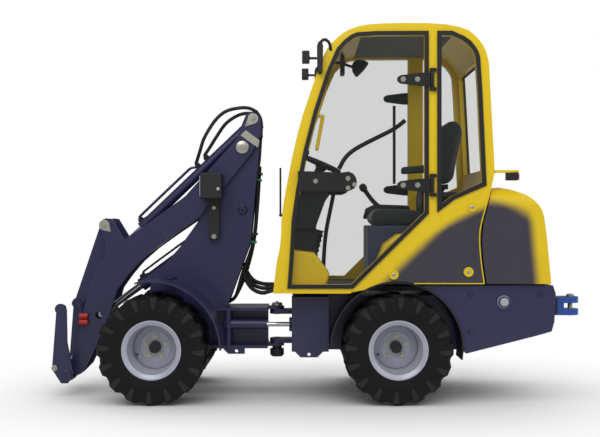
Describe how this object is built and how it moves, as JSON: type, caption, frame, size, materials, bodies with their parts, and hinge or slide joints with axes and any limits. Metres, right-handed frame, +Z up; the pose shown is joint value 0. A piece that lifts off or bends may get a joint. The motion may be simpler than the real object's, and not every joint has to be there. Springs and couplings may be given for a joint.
{
  "type": "wheel_loader",
  "caption": "Compact articulated wheel loader with a glazed cab, twin-plate boom and an empty quick hitch.",
  "frame": {"origin": "on the ground under the middle of the machine's length, on its centre plane", "axes": "+X forward, +Y to the driver's left, +Z up"},
  "size_m": [3.2681, 1.084, 2.2306],
  "materials": {
    "paint": "satin",
    "yellow": "satin",
    "black": "satin",
    "rubber": "matte",
    "rim": "satin",
    "rod": "polished",
    "zinc": "satin",
    "glass": "clear",
    "fabric": "matte",
    "plastic": "matte",
    "iron": "rough",
    "hitch": "satin",
    "hose": "matte",
    "red": "satin",
    "base": "satin"
  },
  "bodies": {
    "rear_frame": {"rear_chassis": "paint", "rear_axle": "black", "engine": "iron", "counterweight": "paint", "tow_hitch": "hitch", "rear_fenders": "black", "side_panels": "yellow", "cab_frame": "yellow", "cab_roof": "yellow", "cab_glass": "glass", "cab_floor": "black", "seat": "fabric", "seat_base": "base", "console": "plastic", "steering_wheel": "plastic", "work_lights": "plastic", "rear_lamps": "plastic", "mirror": "plastic", "wiper": "plastic"},
    "front_frame": {"front_chassis": "paint", "lift_tower": "paint", "front_axle": "black", "front_fenders": "paint", "headlights": "plastic", "tower_hoses": "hose"},
    "boom": {"boom_arm": "paint", "aux_couplers": "red"},
    "tilt_lever_body": {"tilt_lever": "paint"},
    "tilt_link_body": {"tilt_link": "paint"},
    "coupler_body": {"coupler": "paint", "coupler_pins": "zinc"},
    "lift_barrel_body": {"lift_barrel": "paint"},
    "lift_rod_body": {"lift_rod": "rod"},
    "tilt_barrel_body": {"tilt_barrel": "paint"},
    "tilt_rod_body": {"tilt_rod": "rod"},
    "steer_barrel_body": {"steer_barrel": "paint"},
    "steer_rod_body": {"steer_rod": "rod"},
    "wheel_front_left": {"tyre_front_left": "rubber", "rim_front_left": "rim"},
    "wheel_front_right": {"tyre_front_right": "rubber", "rim_front_right": "rim"},
    "wheel_rear_left": {"tyre_rear_left": "rubber", "rim_rear_left": "rim"},
    "wheel_rear_right": {"tyre_rear_right": "rubber", "rim_rear_right": "rim"},
    "door_left": {"left_door_glass": "glass", "left_door_metal": "black"},
    "door_right": {"right_door_glass": "glass", "right_door_metal": "black"},
    "hood_body": {"hood": "yellow"}
  },
  "joints": [
    {"name": "articulation", "type": "hinge", "parent": "rear_frame", "child": "front_frame", "pos_m": [0.269, 0, 0.43], "axis": [0, 0, 1], "range_deg": [-45, 45]},
    {"name": "boom_lift", "type": "hinge", "parent": "front_frame", "child": "boom", "pos_m": [0.481, 0, 1.525], "axis": [0, -1, 0], "range_deg": [-3, 80]},
    {"name": "coupler_tilt", "type": "hinge", "parent": "boom", "child": "coupler_body", "pos_m": [1.554, 0, 0.125], "axis": [0, 1, 0], "range_deg": [-35, 40]},
    {"name": "lift_barrel_swing", "type": "hinge", "parent": "front_frame", "child": "lift_barrel_body", "pos_m": [0.481, 0, 1.137], "axis": [0, -1, 0], "range_deg": [-4, 80]},
    {"name": "lift_rod_stroke", "type": "slide", "parent": "lift_barrel_body", "child": "lift_rod_body", "axis": [0.8062, 0, -0.5917], "range_m": [-0.02, 0.5]},
    {"name": "tilt_barrel_swing", "type": "hinge", "parent": "boom", "child": "tilt_barrel_body", "pos_m": [0.415, 0, 1.703], "axis": [0, -1, 0], "range_deg": [-3, 3]},
    {"name": "tilt_rod_stroke", "type": "slide", "parent": "tilt_barrel_body", "child": "tilt_rod_body", "axis": [0.7235, 0, -0.6903], "range_m": [-0.035, 0.036]},
    {"name": "tilt_lever_swing", "type": "hinge", "parent": "boom", "child": "tilt_lever_body", "pos_m": [1.33618, 0, 1.0434], "axis": [0, -1, 0], "range_deg": [-12, 13]},
    {"name": "tilt_link_swing", "type": "hinge", "parent": "coupler_body", "child": "tilt_link_body", "pos_m": [1.46796, 0, 0.24787], "axis": [0, 1, 0], "range_deg": [-40, 36]},
    {"name": "steer_barrel_swing", "type": "hinge", "parent": "front_frame", "child": "steer_barrel_body", "pos_m": [0.569, 0.13, 0.43], "axis": [0, 0, 1], "range_deg": [-14, 14]},
    {"name": "steer_rod_stroke", "type": "slide", "parent": "steer_barrel_body", "child": "steer_rod_body", "axis": [-1, 0, 0], "range_m": [-0.1, 0.1]},
    {"name": "spin_front_left", "type": "hinge", "parent": "front_frame", "child": "wheel_front_left", "pos_m": [0.983, 0.39, 0.322], "axis": [0, 1, 0], "continuous": true},
    {"name": "spin_front_right", "type": "hinge", "parent": "front_frame", "child": "wheel_front_right", "pos_m": [0.983, -0.39, 0.322], "axis": [0, 1, 0], "continuous": true},
    {"name": "spin_rear_left", "type": "hinge", "parent": "rear_frame", "child": "wheel_rear_left", "pos_m": [-0.445, 0.39, 0.322], "axis": [0, 1, 0], "continuous": true},
    {"name": "spin_rear_right", "type": "hinge", "parent": "rear_frame", "child": "wheel_rear_right", "pos_m": [-0.445, -0.39, 0.322], "axis": [0, 1, 0], "continuous": true},
    {"name": "door_left_hinge", "type": "hinge", "parent": "rear_frame", "child": "door_left", "pos_m": [-0.6488, 0.4583, 1.5], "axis": [0, 0, 1], "range_deg": [0, 100]},
    {"name": "door_right_hinge", "type": "hinge", "parent": "rear_frame", "child": "door_right", "pos_m": [-0.6488, -0.4583, 1.5], "axis": [0, 0, -1], "range_deg": [0, 100]},
    {"name": "hood_hinge", "type": "hinge", "parent": "rear_frame", "child": "hood_body", "pos_m": [-1.342, 0, 0.712], "axis": [0, -1, 0], "range_deg": [0, 60]}
  ],
  "couplings": [
    {"joint": "lift_barrel_swing", "follows": "boom_lift", "ratio": 0.9855},
    {"joint": "lift_rod_stroke", "follows": "boom_lift", "m_per_rad": 0.35667},
    {"joint": "tilt_barrel_swing", "follows": "coupler_tilt", "ratio": 0.0465},
    {"joint": "tilt_rod_stroke", "follows": "coupler_tilt", "m_per_rad": 0.048},
    {"joint": "tilt_lever_swing", "follows": "coupler_tilt", "ratio": 0.31},
    {"joint": "tilt_link_swing", "follows": "coupler_tilt", "ratio": -0.88},
    {"joint": "steer_barrel_swing", "follows": "articulation", "ratio": -0.242},
    {"joint": "steer_rod_stroke", "follows": "articulation", "m_per_rad": -0.1243}
  ]
}
